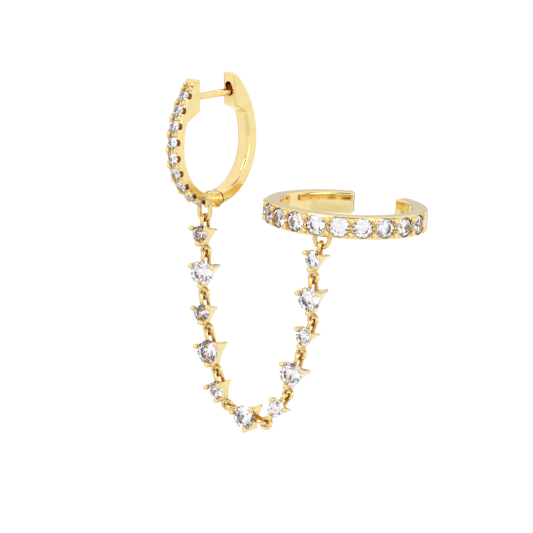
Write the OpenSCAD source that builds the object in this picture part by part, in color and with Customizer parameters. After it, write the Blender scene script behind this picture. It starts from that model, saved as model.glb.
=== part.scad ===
// Ear chain earring: a hinged hoop for the lobe, a hanging chain of set stones and an open cuff for
// the ear's rim. Millimetres. The origin is the middle of the ear post, +X runs along the post from
// the stone-set half to the catch, +Z is up, and the hinge turns about Y.

/* [Hoop] */
// Outside radius of the hoop's round lower half
hoop_r = 5.65; // [5.4:0.05:6.2]
// Outside radius of each arched side above the hoop's centre
arch_r = 7.9; // [7.5:0.1:8.6]
// Width of both halves, along the hinge
hoop_w = 1.42; // [1.36:0.02:1.8]
// Thickness of the stone-set front half
front_t = 1; // [0.9:0.05:1.2]
// Thickness of the plain back half
back_t = 1.2; // [1:0.05:1.4]
// Height of the ear post above the hoop's centre
post_h = 4.5; // [4.2:0.1:4.8]
// Diameter of the ear post
post_d = 0.66; // [0.6:0.02:0.72]
// Room between the front block and the catch, where the lobe sits
lobe_gap = 4.9; // [4.5:0.1:5.2]
// Height of the front block above the post
front_top = 1.7; // [1.4:0.1:1.8]
// Height of the catch above the post
catch_top = 1.8; // [1.5:0.1:1.9]
// Depth of both blocks below the post
block_down = 1.25; // [1:0.05:1.5]
// Run of each block's slanted underside, back to the band
block_slant = 1.7; // [1.2:0.1:2]
// Radius of the blocks' upper inner corners
block_round = 0.25; // [0.2:0.05:0.5]

/* [Hinge and catch] */
// Diameter of the hinge knuckles
knuckle_d = 1.48; // [1.3:0.04:1.6]
// Thickness of each of the front half's two knuckles
ear_t = 0.4; // [0.34:0.02:0.44]
// Diameter of the hinge pin
pin_d = 0.4; // [0.3:0.02:0.5]
// Metal left over each end of the pin
pin_cover = 0.1; // [0.06:0.02:0.16]
// Room round the pin in its bores
pin_gap = 0.02; // [0.01:0.01:0.04]
// Room between hinge faces that pass each other
run_gap = 0.04; // [0.03:0.01:0.08]
// Length of post inside the catch
post_grip = 0.6; // [0.4:0.1:0.8]
// Room beyond the post's end in the catch
post_end_room = 0.4; // [0.2:0.1:0.5]
// Room round the post in the catch
catch_gap = 0.08; // [0.06:0.01:0.12]
// Height of the catch's slot above the post's middle
slot_rise = 0.3; // [0.25:0.05:0.4]
// Height of the keyhole's round end above the post's middle
keyhole_rise = 0.55; // [0.5:0.05:0.7]
// Shift of the keyhole's round end along the hinge
keyhole_shift = 0.1; // [0:0.05:0.15]
// Diameter of the keyhole's round end
keyhole_d = 0.76; // [0.7:0.02:0.84]

/* [Stone rows] */
// Number of stones on the hoop
hoop_stones = 9; // [5:1:9]
// Diameter of the hoop's stones
hoop_stone_d = 1.12; // [1:0.02:1.16]
// Distance between the hoop's stones along the band
hoop_pitch = 1.49; // [1.46:0.01:1.5]
// Distance of the hoop's top stone above the hoop's centre, along the band
hoop_row_top = 5.2; // [5:0.05:5.3]
// Diameter of the beads that hold the hoop's stones
hoop_bead_d = 0.44; // [0.36:0.02:0.46]
// Distance of the hoop's beads from the middle of the band
hoop_bead_out = 0.44; // [0.4:0.02:0.44]
// Diameter of the scallops cut into the hoop's sides below the stones
scallop_d = 0.62; // [0.5:0.02:0.7]
// Number of stones on the cuff
cuff_stones_n = 11; // [5:2:11]
// Diameter of the cuff's stones
cuff_stone_d = 1.8; // [1.6:0.02:1.82]
// Angle between the cuff's stones
cuff_pitch = 16.9; // [16.6:0.1:17.6]
// Diameter of the beads that hold the cuff's stones
cuff_bead_d = 0.56; // [0.46:0.02:0.6]
// Distance of the cuff's beads from the middle of the band
cuff_bead_out = 0.62; // [0.5:0.02:0.62]
// Height of a row stone's table above the band
table_rise = 0.12; // [0.08:0.01:0.16]
// Clearance between every stone and the metal that holds it
stone_gap = 0.03; // [0.02:0.01:0.05]

/* [Chain] */
// Diameter of the small chain stones
small_d = 1.6; // [1.4:0.02:1.7]
// Diameter of the large chain stones
large_d = 2.18; // [1.9:0.02:2.2]
// Distance of a setting's corners outside its stone
corner_out = 0.27; // [0.2:0.01:0.34]
// Distance of a prong's middle outside its stone
prong_out = 0.1; // [0.08:0.01:0.14]
// Diameter of a prong
prong_d = 0.44; // [0.36:0.02:0.46]
// Diameter of the ball that tips a prong
tip_d = 0.52; // [0.44:0.02:0.56]
// Height of the ball's middle above the stone's girdle
tip_rise = 0.34; // [0.28:0.02:0.4]
// Metal behind a chain stone's point
floor_t = 0.7; // [0.6:0.02:0.8]
// Distance of a setting's hollowed faces from its middle, as a share of the stone's radius
face_in = 0.6; // [0.5:0.02:0.66]
// Distance of the eyes behind the stone's girdle
eye_back = 0.92; // [0.86:0.02:0.96]
// Distance of the upper eye's middle outside the stone
eye_above = 0.36; // [0.34:0.02:0.5]
// Distance of the lower eye's middle outside the stone
eye_below = 0.92; // [0.86:0.02:0.96]
// Radius of a setting's eyes, to the middle of the wire
eye_r = 0.45; // [0.44:0.01:0.5]
// Diameter of the wire of a setting's eyes
eye_wire = 0.38; // [0.34:0.01:0.38]
// Play between linked eyes
link_gap = 0.05; // [0.04:0.01:0.07]
// Turn of the linked eyes away from the chain's run
link_turn = 40; // [0:1:45]
// Radius of the eye under the hoop, to the middle of the wire
hoop_eye_r = 0.62; // [0.58:0.02:0.66]
// Radius of the eye under the cuff, to the middle of the wire
cuff_eye_r = 0.7; // [0.64:0.02:0.76]
// Diameter of the wire of those two eyes
end_wire = 0.42; // [0.38:0.02:0.42]
// Length of the hoop eye's legs below the metal
hoop_eye_drop = 0.75; // [0.6:0.05:0.9]
// Length of the cuff eye's legs below the metal
cuff_eye_drop = 0.32; // [0.3:0.02:0.6]
// Distance of the hoop's eye in front of the hinge
hoop_eye_front = 1.05; // [1:0.01:1.2]
// Depth to which an eye's legs are soldered into the metal
solder = 0.2; // [0.16:0.02:0.24]

/* [Cuff] */
// Outside radius of the cuff
cuff_r = 7.5; // [7.2:0.05:8]
// Thickness of the cuff's band
cuff_t = 1.4; // [1.3:0.05:1.6]
// Height of the cuff's band
cuff_h = 2.1; // [2.1:0.05:2.4]
// Width of the bevel on the band's edges
cuff_bevel = 0.2; // [0.1:0.05:0.2]
// Angle of the cuff's open mouth
mouth_angle = 41; // [36:1:44]
// Turn of the mouth's middle from the point opposite the middle stone
mouth_turn = 5; // [0:1:8]
// Direction of the middle of the cuff's stones, from the chain's run
cuff_turn = -113.5; // [-120:0.5:-100]
// Angle from the middle of the cuff's stones to the cuff's eye
cuff_eye_turn = 4; // [0:0.5:6]
// Slope of the cuff's band down to the chain's far side
cuff_roll = 3.5; // [0:0.5:5]
// Slope of the cuff's band down to its stones
cuff_pitch_down = 0.2; // [0:0.1:3]

/* [Hidden] */
SETTINGS = 11;
CORNERS = [-90, 30, 150];
function number_name(stem, i) = str(stem, i < 9 ? "0" : "", i + 1);
SETTING_NAMES = [for (i = [0:SETTINGS - 1]) number_name("setting_", i)];
STONE_NAMES = [for (i = [0:SETTINGS - 1]) number_name("stone_", i)];

// How the chain hangs, from the hoop to the cuff, chosen by hand: for each setting the lean of its
// upper side toward the cuff, the turn of its stone away from the cuff, its swing about the upright
// and the tip of its stone toward its upper side, in degrees
CHAIN_ROUTE = [
    [-1.8, 33, 0, 12],
    [2.8, 20, 0, 2],
    [-7.3, 26, 0, 16],
    [-11.3, 30, 0, 12],
    [-16.8, 40, 0, 2],
    [107, 0, 32.1, 0],
    [37.5, 17, 0, 0],
    [17.5, 24, 0, 3],
    [20.5, 26, 0, -2],
    [0, 25, 0, -2],
    [12.1, 31, 0, -2]
];
// Compass direction in which the chain runs from the hoop to the cuff
chain_run = -50;
// The setting at the bottom of the chain, with an eye at each side
BOTTOM = 5;

$fn = 48;
eps = 0.01;
far = 20;

// Round brilliant, as shares of its diameter
TABLE = 0.56;
CROWN = 0.15;
GIRDLE = 0.03;
PAVILION = 0.43;
GIRDLE_SIDES = 16;

// Hoop
knuckle_r = knuckle_d / 2;
tongue_w = hoop_w - 2 * (ear_t + run_gap);
hinge_z = -(post_h + hoop_r - front_t / 2);
pin_len = hoop_w - 2 * pin_cover;
catch_depth = post_grip + post_end_room;
hoop_girdle = table_rise - hoop_stone_d * CROWN;

// Chain
function chain_stone_d(i) = i % 2 == 0 ? small_d : large_d;
function setting_depth(d) = d * PAVILION + floor_t;
function reach_up(i) = chain_stone_d(i) / 2 + eye_above;
function reach_down(i) = chain_stone_d(i) / 2 + eye_below;
link_pull = 2 * (eye_r - eye_wire / 2) - link_gap;
function end_pull(r) = r - end_wire / 2 + eye_r - eye_wire / 2 - link_gap;

// The chain's own axes: +X along its run, +Y behind it, +Z up. Before the bottom setting the chain
// goes down through each setting, after it up.
function lean(i) = CHAIN_ROUTE[i][0];
function turn(i) = CHAIN_ROUTE[i][1];
function swing(i) = CHAIN_ROUTE[i][2];
function tip(i) = CHAIN_ROUTE[i][3];
function upper_side(i) = [
    sin(lean(i)) * cos(swing(i)),
    -sin(lean(i)) * sin(swing(i)),
    cos(lean(i))
];
function travel(i) = (i < BOTTOM ? -1 : 1) * upper_side(i);
function reach_in(i) = i < BOTTOM ? reach_up(i) : reach_down(i);
function reach_out(i) = i < BOTTOM ? reach_down(i) : reach_up(i);
// Linked eyes pull apart midway between their settings' travels, but along the bottom setting's own
function joint_way(i) = i == BOTTOM
    ? travel(BOTTOM)
    : i == BOTTOM + 1
        ? travel(BOTTOM)
        : (travel(i - 1) + travel(i)) / norm(travel(i - 1) + travel(i));
function first_eye(i) = i == 0
    ? end_pull(hoop_eye_r) * travel(0)
    : setting_at(i - 1) + reach_out(i - 1) * travel(i - 1) + link_pull * joint_way(i);
function setting_at(i) = first_eye(i) + reach_in(i) * travel(i);
chain_end = setting_at(SETTINGS - 1)
    + (reach_out(SETTINGS - 1) + end_pull(cuff_eye_r)) * travel(SETTINGS - 1);
// The first and last settings' upper eyes stand square to the eyes that they hang in, and the eyes
// beside the bottom setting follow its swing
function upper_eye_turn(i) = i == 0
    ? 90 + chain_run
    : i == SETTINGS - 1
        ? -90 - cuff_turn - cuff_eye_turn
        : i == BOTTOM ? 0 : link_turn;
function lower_eye_turn(i) = abs(i - BOTTOM) == 1 ? swing(BOTTOM) : link_turn;
// Drop of a tipped setting's column at its eyes, below an upright one
function tip_drop(i) = eye_back * tan(tip(i));

// The hoop's eye
band_at_eye = sqrt(hoop_r * hoop_r - hoop_eye_front * hoop_eye_front);
hoop_eye_at = [-hoop_eye_front, 0, -(post_h + band_at_eye + hoop_eye_drop)];

// Cuff
cuff_mid_r = cuff_r - cuff_t / 2;
cuff_girdle = cuff_r + table_rise - cuff_stone_d * CROWN;
cuff_row_start = -cuff_pitch * (cuff_stones_n - 1) / 2;
cuff_eye_place = [cuff_mid_r, 0, -cuff_h / 2 - cuff_eye_drop];
mouth_edge = 180 - mouth_turn + mouth_angle / 2;

// Cut stones
function ring_points(n, r, z) = [for (k = [0:n - 1]) [r * cos(360 * k / n), r * sin(360 * k / n), z]];

// Round brilliant with its girdle at z = 0 and its table up: a table, star, main and girdle facets
// on the crown, and a facet for each side of the girdle below
module brilliant(d) {
    n = GIRDLE_SIDES;
    half = n / 2;
    up = half;
    low = half + n;
    point = half + 2 * n;
    points = concat(
        ring_points(half, d * TABLE / 2, d * (CROWN + GIRDLE / 2)),
        ring_points(n, d / 2, d * GIRDLE / 2),
        ring_points(n, d / 2, -d * GIRDLE / 2),
        [[0, 0, -d * PAVILION]]
    );
    table = [[for (k = [half - 1:-1:0]) k]];
    stars = [for (k = [0:half - 1]) [k, (k + 1) % half, up + 2 * k + 1]];
    mains = [for (k = [0:half - 1], s = [0, 1])
        s == 0
            ? [k, up + 2 * k + 1, up + 2 * k]
            : [k, up + 2 * k, up + (2 * k - 1 + n) % n]];
    girdle = [for (k = [0:n - 1]) [up + k, up + (k + 1) % n, low + (k + 1) % n, low + k]];
    below = [for (k = [0:n - 1]) [low + k, low + (k + 1) % n, point]];
    polyhedron(points, concat(table, stars, mains, girdle, below));
}

// Space that metal leaves for a stone: the stone, wider and deeper by the clearance
module stone_seat(d) {
    r = d / 2 + stone_gap;
    rim = d * GIRDLE / 2 + stone_gap / 2;
    rotate_extrude()
        polygon([
            [0, -d * PAVILION - 2 * stone_gap],
            [r, -rim],
            [r, rim],
            [d * TABLE / 2 + stone_gap, d * (CROWN + GIRDLE / 2) + stone_gap],
            [0, d * (CROWN + GIRDLE / 2) + stone_gap]
        ]);
}

// Closed ring of wire standing in the XZ plane
module wire_ring(r, wire) {
    rotate([90, 0, 0])
        rotate_extrude()
            translate([r, 0])
                circle(d = wire);
}

// Upper half of such a ring, with two straight legs down from it
module wire_staple(r, wire, leg) {
    rotate([90, 0, 0])
        rotate_extrude(angle = 180)
            translate([r, 0])
                circle(d = wire);
    for (side = [-1, 1])
        translate([side * r, 0, -leg])
            cylinder(d = wire, h = leg);
}

// Outline of the hoop in its own plane, smaller by an inset: a round lower half under two arcs
module hoop_outline(inset) {
    arch_x = arch_r - hoop_r;
    intersection() {
        circle(r = hoop_r - inset);
        translate([-far, -far])
            square([2 * far, far + eps]);
    }
    intersection() {
        translate([arch_x, 0])
            circle(r = arch_r - inset);
        translate([-arch_x, 0])
            circle(r = arch_r - inset);
        translate([-far, 0])
            square([2 * far, far]);
    }
}

// Band and block of one half, on the +X side, before they are cut to length
module band_and_block(t) {
    face = lobe_gap / 2;
    block_y = post_h - block_down;
    slant_y = block_y - block_slant / 2;
    difference() {
        hoop_outline(0);
        hoop_outline(t);
    }
    intersection() {
        hoop_outline(0);
        polygon([
            [face, far],
            [face, block_y],
            [face + block_slant, slant_y],
            [far, slant_y],
            [far, far]
        ]);
    }
}

// One half of the hoop on the +X side, from the hinge up to its block's rounded inner corner
module half_outline(t, top) {
    face = lobe_gap / 2;
    top_y = post_h + top;
    intersection() {
        band_and_block(t);
        union() {
            translate([0, -far])
                square([far, far + eps]);
            difference() {
                translate([face, 0])
                    square([far, top_y]);
                translate([face - eps, top_y - block_round])
                    difference() {
                        square(block_round + 2 * eps);
                        translate([block_round + eps, 0])
                            circle(r = block_round);
                    }
            }
        }
    }
}

// A shape drawn in the hoop's own plane, made w thick about the middle of the band
module across_band(w) {
    translate([0, 0, -post_h])
        rotate([90, 0, 0])
            linear_extrude(w, center = true)
                children();
}

// Cylinder along the hinge
module hinge_cylinder(r, w) {
    translate([0, 0, hinge_z])
        rotate([90, 0, 0])
            cylinder(r = r, h = w, center = true);
}

// Place along the front half's outside, at a distance above the hoop's centre measured on the
// band, with +Z pointing out of the band
module on_hoop(s) {
    arch_x = arch_r - hoop_r;
    if (s > 0)
        translate([arch_x, 0, -post_h])
            rotate([0, -90 + s / arch_r * 180 / PI, 0])
                translate([0, 0, arch_r])
                    children();
    else
        translate([0, 0, -post_h])
            rotate([0, -90 + s / hoop_r * 180 / PI, 0])
                translate([0, 0, hoop_r])
                    children();
}

// Each stone of the hoop's row, with its girdle at z = 0
module each_hoop_stone() {
    for (k = [0:hoop_stones - 1])
        on_hoop(hoop_row_top - k * hoop_pitch)
            translate([0, 0, hoop_girdle])
                children();
}

// Two knuckles that hold the pin's ends
module front_knuckles() {
    for (side = [-1, 1])
        translate([0, side * (hoop_w - ear_t) / 2, 0])
            hinge_cylinder(knuckle_r, ear_t);
}

// The pave half: band, block, knuckles, ear post, beads and the eye that carries the chain
module front_hoop() {
    color("gold")
        difference() {
            union() {
                mirror([1, 0, 0])
                    across_band(hoop_w)
                        half_outline(front_t, front_top);
                front_knuckles();
                translate([-lobe_gap / 2 - eps, 0, 0])
                    rotate([0, 90, 0])
                        cylinder(d = post_d, h = lobe_gap + post_grip + eps);
                for (k = [0:hoop_stones], side = [-1, 1])
                    on_hoop(hoop_row_top - (k - 0.5) * hoop_pitch)
                        translate([0, side * hoop_bead_out, 0])
                            sphere(d = hoop_bead_d);
                translate(hoop_eye_at)
                    rotate([180, 0, 90])
                        wire_staple(hoop_eye_r, end_wire, hoop_eye_drop + solder);
            }
            hinge_cylinder(knuckle_r + run_gap, tongue_w + 2 * run_gap);
            hinge_cylinder(pin_d / 2 + pin_gap, pin_len + 2 * pin_gap);
            each_hoop_stone()
                stone_seat(hoop_stone_d);
            each_hoop_stone()
                rotate([90, 0, 0])
                    cylinder(d = scallop_d, h = hoop_w + 1, center = true);
        }
}

// The plain half: band, tongue between the knuckles, and the catch with its keyhole
module back_hoop() {
    mouth = lobe_gap / 2 - eps;
    post_hole = post_d + 2 * catch_gap;
    color("goldenrod")
        difference() {
            union() {
                across_band(hoop_w)
                    half_outline(back_t, catch_top);
                hinge_cylinder(knuckle_r, tongue_w);
            }
            for (side = [-1, 1])
                translate([0, side * (hoop_w + tongue_w) / 2, 0])
                    hinge_cylinder(knuckle_r + run_gap, hoop_w);
            hinge_cylinder(pin_d / 2 + pin_gap, hoop_w);
            translate([mouth, 0, 0])
                rotate([0, 90, 0])
                    cylinder(d = post_hole, h = catch_depth);
            translate([mouth, -post_hole / 2, 0])
                cube([catch_depth, post_hole, slot_rise]);
            translate([mouth, 0, slot_rise])
                rotate([0, 90, 0])
                    cylinder(d = post_hole, h = catch_depth);
            translate([mouth, keyhole_shift, keyhole_rise])
                rotate([0, 90, 0])
                    cylinder(d = keyhole_d, h = catch_depth);
        }
}

module hinge_pin() {
    color("darkgoldenrod")
        hinge_cylinder(pin_d / 2, pin_len);
}

module huggie_stones() {
    color("white")
        each_hoop_stone()
            brilliant(hoop_stone_d);
}

// A chain setting's stone frame: the eyes' line is the Z axis, and the stone's table looks forward,
// along -Y, turned away from the cuff and tipped toward the upper eye
module setting_head(i) {
    rotate([0, 0, -turn(i)])
        translate([0, -eye_back, 0])
            rotate([90 - tip(i), 0, 0])
                children();
}

// A chain piece's own place and lean, with its upper eye toward +Z
module on_chain(i) {
    translate(hoop_eye_at)
        rotate([0, 0, chain_run])
            translate(setting_at(i))
                rotate([0, lean(i), -swing(i)])
                    children();
}

// Three-cornered column behind a chain stone, hollowed on its faces, with a prong at each corner
module column(d) {
    r = d / 2;
    depth = setting_depth(d);
    corner = r + corner_out;
    face_r = 2 * d;
    face_at = face_in * r + face_r;
    difference() {
        union() {
            translate([0, 0, -depth])
                rotate([0, 0, -90])
                    cylinder(r = corner, h = depth - d * GIRDLE, $fn = 3);
            for (a = CORNERS)
                rotate([0, 0, a])
                    translate([r + prong_out, 0, 0]) {
                        translate([0, 0, -depth])
                            cylinder(d = prong_d, h = depth + tip_rise);
                        translate([0, 0, tip_rise])
                            sphere(d = tip_d);
                    }
        }
        for (a = CORNERS)
            rotate([0, 0, a + 180])
                translate([face_at, 0, -depth - eps])
                    cylinder(r = face_r, h = depth + 2 * eps, $fn = 96);
    }
}

// Chain setting: column, prongs, an upper eye on legs and a lower eye on the corner prong
module setting(i) {
    d = chain_stone_d(i);
    face = face_in * d / 2;
    color("gold")
        on_chain(i)
            difference() {
                union() {
                    setting_head(i)
                        column(d);
                    translate([0, 0, reach_up(i)])
                        rotate([0, 0, 90 - upper_eye_turn(i)])
                            wire_staple(eye_r, eye_wire, reach_up(i) - face + solder + tip_drop(i));
                    translate([0, 0, -reach_down(i)])
                        rotate([0, 0, i == BOTTOM ? 90 : -lower_eye_turn(i)])
                            wire_ring(eye_r, eye_wire);
                    translate([0, 0, eye_r - reach_down(i)])
                        cylinder(d = eye_wire, h = reach_down(i) - eye_r - face);
                }
                setting_head(i)
                    stone_seat(d);
            }
}

module stone(i) {
    color("white")
        on_chain(i)
            setting_head(i)
                brilliant(chain_stone_d(i));
}

// Bevelled section of the cuff's band
module cuff_section() {
    inner = cuff_r - cuff_t;
    half = cuff_h / 2;
    b = cuff_bevel;
    polygon([
        [inner + b, -half],
        [cuff_r - b, -half],
        [cuff_r, -half + b],
        [cuff_r, half - b],
        [cuff_r - b, half],
        [inner + b, half],
        [inner, half - b],
        [inner, -half + b]
    ]);
}

// The cuff's own frame: its eye hangs from the last setting, and +X points to the middle stone
module on_cuff() {
    translate(hoop_eye_at)
        rotate([0, 0, chain_run])
            translate(chain_end)
                rotate([cuff_pitch_down, cuff_roll, 0])
                    rotate([0, 0, cuff_turn + cuff_eye_turn])
                        translate(-cuff_eye_place)
                            rotate([0, 0, -cuff_eye_turn])
                                children();
}

module each_cuff_stone() {
    for (k = [0:cuff_stones_n - 1])
        rotate([0, 0, cuff_row_start + k * cuff_pitch])
            rotate([0, 90, 0])
                translate([0, 0, cuff_girdle])
                    children();
}

// The open cuff: band, beads between the stones and the eye that holds the chain's end
module cuff_band() {
    color("gold")
        on_cuff()
            difference() {
                union() {
                    rotate([0, 0, mouth_edge])
                        rotate_extrude(angle = 360 - mouth_angle)
                            cuff_section();
                    for (k = [0:cuff_stones_n], side = [-1, 1])
                        rotate([0, 0, cuff_row_start + (k - 0.5) * cuff_pitch])
                            rotate([0, 90, 0])
                                translate([side * cuff_bead_out, 0, cuff_r])
                                    sphere(d = cuff_bead_d);
                    rotate([0, 0, cuff_eye_turn])
                        translate(cuff_eye_place)
                            rotate([180, 0, 90])
                                wire_staple(cuff_eye_r, end_wire, cuff_eye_drop + solder);
                }
                each_cuff_stone()
                    stone_seat(cuff_stone_d);
            }
}

module cuff_stones() {
    color("white")
        on_cuff()
            each_cuff_stone()
                brilliant(cuff_stone_d);
}

front_hoop();
back_hoop();
hinge_pin();
huggie_stones();
cuff_band();
cuff_stones();
for (i = [0:SETTINGS - 1]) {
    setting(i);
    stone(i);
}
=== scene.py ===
"""Ear chain earring: a stone-set hoop, a hanging chain of three-prong settings and an open cuff.

The pieces stand over the fixed CAD frame, and are drawn in millimetres before they are scaled.
"""
import math

import bmesh
import bpy
from mathutils import Matrix, Vector


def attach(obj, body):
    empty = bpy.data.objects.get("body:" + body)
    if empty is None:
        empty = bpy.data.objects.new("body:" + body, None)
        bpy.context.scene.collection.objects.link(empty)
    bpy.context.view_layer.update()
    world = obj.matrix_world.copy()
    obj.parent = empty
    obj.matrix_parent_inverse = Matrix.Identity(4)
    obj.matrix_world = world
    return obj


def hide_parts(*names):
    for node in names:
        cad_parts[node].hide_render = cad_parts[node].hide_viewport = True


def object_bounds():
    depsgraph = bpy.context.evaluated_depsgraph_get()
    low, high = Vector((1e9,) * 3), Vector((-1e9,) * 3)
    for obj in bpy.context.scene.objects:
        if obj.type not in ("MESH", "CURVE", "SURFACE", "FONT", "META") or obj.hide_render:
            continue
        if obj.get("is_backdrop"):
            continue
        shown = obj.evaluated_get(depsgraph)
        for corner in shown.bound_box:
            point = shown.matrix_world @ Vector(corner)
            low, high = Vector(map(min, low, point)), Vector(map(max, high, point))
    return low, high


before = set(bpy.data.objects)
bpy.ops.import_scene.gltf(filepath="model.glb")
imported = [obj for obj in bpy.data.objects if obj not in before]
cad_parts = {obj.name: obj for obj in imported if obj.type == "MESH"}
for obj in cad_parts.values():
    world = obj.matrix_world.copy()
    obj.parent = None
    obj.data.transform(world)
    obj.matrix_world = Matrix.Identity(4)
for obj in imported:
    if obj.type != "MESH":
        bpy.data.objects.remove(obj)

bl_info = {
    "name": "Ear chain earring",
    "version": (1, 0, 0),
    "blender": (4, 5, 0),
    "location": "View3D > Sidebar > Earring",
    "description": "Builds the visible pieces of an ear chain earring and its studio",
    "category": "Add Mesh",
}

MM = 0.001
FRONT = "front"
BACK = "back"

# Sizes in millimetres and angles in degrees that the CAD model gives

# Hoop: band, blocks, hinge, ear post and catch
HOOP_R = 5.65
ARCH_R = 7.9
ARCH_X = ARCH_R - HOOP_R
HOOP_W = 1.42
FRONT_T = 1.0
BACK_T = 1.2
POST_H = 4.5
POST_D = 0.66
LOBE_GAP = 4.9
FRONT_TOP = 1.7
CATCH_TOP = 1.8
BLOCK_DROP = 1.25
BLOCK_Y = POST_H - BLOCK_DROP
SLANT = 1.7
SHOULDER = 0.25
KNUCKLE_R = 0.74
RUN_GAP = 0.04
TONGUE_W = 0.54
HINGE_H = HOOP_R - FRONT_T / 2
POST_END = 3.05
CATCH_DEPTH = 1.0
POST_HOLE = 0.82
SLOT_RISE = 0.3
KEYHOLE_RISE = 0.55
KEYHOLE_SHIFT = 0.1
KEYHOLE_D = 0.76

# Rows of stones on the hoop and on the cuff
HOOP_STONES = 9
HOOP_STONE_D = 1.12
HOOP_PITCH = 1.49
HOOP_ROW_TOP = 5.2
HOOP_BEAD_OUT = 0.44
SCALLOP_D = 0.62
CUFF_STONES = 11
CUFF_STONE_D = 1.8
CUFF_PITCH = 16.9
CUFF_BEAD_OUT = 0.62
TABLE_RISE = 0.12
STONE_GAP = 0.03

# Settings of the chain, the eyes that link them and the two end eyes
SETTINGS = 11
BOTTOM = 5
CORNERS = (-90, 30, 150)
SMALL_D = 1.6
LARGE_D = 2.18
PRONG_OUT = 0.1
PRONG_D = 0.44
TIP_D = 0.52
TIP_RISE = 0.34
FLOOR_T = 0.7
FACE_IN = 0.6
EYE_BACK = 0.92
EYE_ABOVE = 0.36
EYE_BELOW = 0.92
EYE_R = 0.45
EYE_WIRE = 0.38
LINK_GAP = 0.05
LINK_TURN = 40
HOOP_EYE_R = 0.62
CUFF_EYE_R = 0.7
END_WIRE = 0.42
HOOP_EYE_DROP = 0.75
CUFF_EYE_DROP = 0.32
HOOP_EYE_FRONT = 1.05
SOLDER = 0.2
CHAIN_RUN = -50

# Cuff: band, mouth and the way it hangs
CUFF_R = 7.5
CUFF_T = 1.4
CUFF_H = 2.1
MOUTH_ANGLE = 41
MOUTH_TURN = 5
CUFF_TURN = -113.5
CUFF_EYE_TURN = 4
CUFF_ROLL = 3.5
CUFF_PITCH_DOWN = 0.2

# Each setting's lean toward the cuff, its stone's turn away from the cuff, its swing about the
# upright and its stone's tip toward the upper eye, in degrees
CHAIN_ROUTE = (
    (-1.8, 33, 0, 12),
    (2.8, 20, 0, 2),
    (-7.3, 26, 0, 16),
    (-11.3, 30, 0, 12),
    (-16.8, 40, 0, 2),
    (107, 0, 32.1, 0),
    (37.5, 17, 0, 0),
    (17.5, 24, 0, 3),
    (20.5, 26, 0, -2),
    (0, 25, 0, -2),
    (12.1, 31, 0, -2),
)

# Round brilliant cut, as shares of its diameter: heights from the girdle's middle
TABLE_R = 0.28
CROWN = 0.15
STAR_R = 0.379
STAR_SHARE = 0.6795
GIRDLE = 0.03
PAVILION = 0.43
LOWER_R = 0.115
LOWER_SHARE = 0.7875
TABLE_SIDES = 8
GIRDLE_SIDES = 16

# Finer forms than the CAD model's, in millimetres
POST_ROOT = 0.2
POST_ROUND = 0.12
HOLE_LEAD = 0.3
TONGUE_EDGE = 0.05
SEAT_CLEAR = 0.4
HOOP_POCKET_OUT = 0.12
CUFF_POCKET_OUT = 0.1
SMALLEST_EDGE = 0.02

# A prong's foot in its column, the taper of the foot, and where the neck meets the tip's ball
PRONG_FOOT = 0.3
FOOT_SHARE = 0.8
PRONG_TAPER = 0.15
PRONG_NECK = 0.05
NECK_ROOM = 1.02

# Rings of a setting's column, as shares of its depth below the girdle, and the radius of its hollow
# faces, as a share of its stone's diameter
COLUMN_SHARES = (0.6, 0.3)
HOLLOW_SHARE = 2

# The hoop's rounded edges thin toward the blocks' tops, over a height and down to a share of their
# radius, and a sharp corner's mitre is limited to 1 / MITRE of it
THIN_HEIGHT = 1.2
THIN_SHARE = 0.2
MITRE = 0.3

# Angle in degrees at which the plain half's band ends, a little past the hinge and inside its tongue
PLAIN_END = -91

# Steps of the hoop's row from its top stone up to the last pair of grains
END_GRAINS = 0.8

# Angles in degrees past which an edge stays sharp, and how far large faces rule the shading of edges
BAND_CREASE = 38
SETTING_CREASE = 28
FACE_WEIGHT = 60

# Steps of arcs in degrees
ARC_STEP = 3
KNUCKLE_STEP = 6
SHOULDER_STEP = 15
CUFF_EDGE_STEP = 18

# Sides and steps of round forms
HINGE_SIDES = 72
POST_SIDES = 48
SEAT_SIDES = 48
SCALLOP_SIDES = 40
POCKET_SIDES = 24
PRONG_SIDES = 20
WIRE_SIDES = 20
RING_SIDES = 48
GRAIN_SIDES = 20
GRAIN_RINGS = 12
BALL_STEPS = 12
TIP_STEPS = 9
PRONG_STEPS = 8
HOLLOW_STEPS = 10
EDGE_STEPS = 3
PLATE_STEPS = 4
CUFF_END_STEPS = 6
CUFF_STEPS = 140

# Seeds of the stones' flashes
HOOP_SEED = 3
CUFF_SEED = 7
CHAIN_SEED = 50
CHAIN_SEED_STEP = 3

# The photograph's scale in pixels a millimetre, and its middle in pixels from the ear post
PHOTO_SCALE = 11
MIDDLE_RIGHT = 54.2
MIDDLE_DOWN = 172.3

# Softboxes in metres: side length, and the way from the earring toward the camera, right and up
KEY_BOX = (0.25, (0.25, -0.25, 0.35))
FILL_BOX = (0.3, (0.3, 0.35, 0.1))

# Studio paper in metres: radius and height
PAPER_RADIUS = 4.0
PAPER_HEIGHT = -0.16
PAPER_SIDES = 72

# Half widths of the soft edge round each gap of the tent, in degrees and as a sine of height
SOFT_TURN = 4
SOFT_RISE = 0.04

# Gaps of the white tent: compass direction and half width in degrees, lowest and highest sine of
# height, and how dark each is. They draw the dark lines on the polished gold
TENT_GAPS = (
    (220, 22, 0.48, 0.85, 1.0),
    (215, 70, -0.7, -0.2, 0.15),
    (40, 14, -0.3, -0.02, 0.9),
    (40, 60, 0.04, 0.4, 0.3),
    (92, 14, -0.35, 0.3, 0.6),
    (160, 9, 0.45, 0.8, 0.8),
    (-70, 9, 0.1, 0.8, 0.8),
)


def linear(code):
    """Linear RGB of an sRGB hex colour."""
    parts = [int(code[k:k + 2], 16) / 255 for k in (0, 2, 4)]
    return tuple(c / 12.92 if c <= 0.04045 else ((c + 0.055) / 1.055) ** 2.4 for c in parts)


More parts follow.
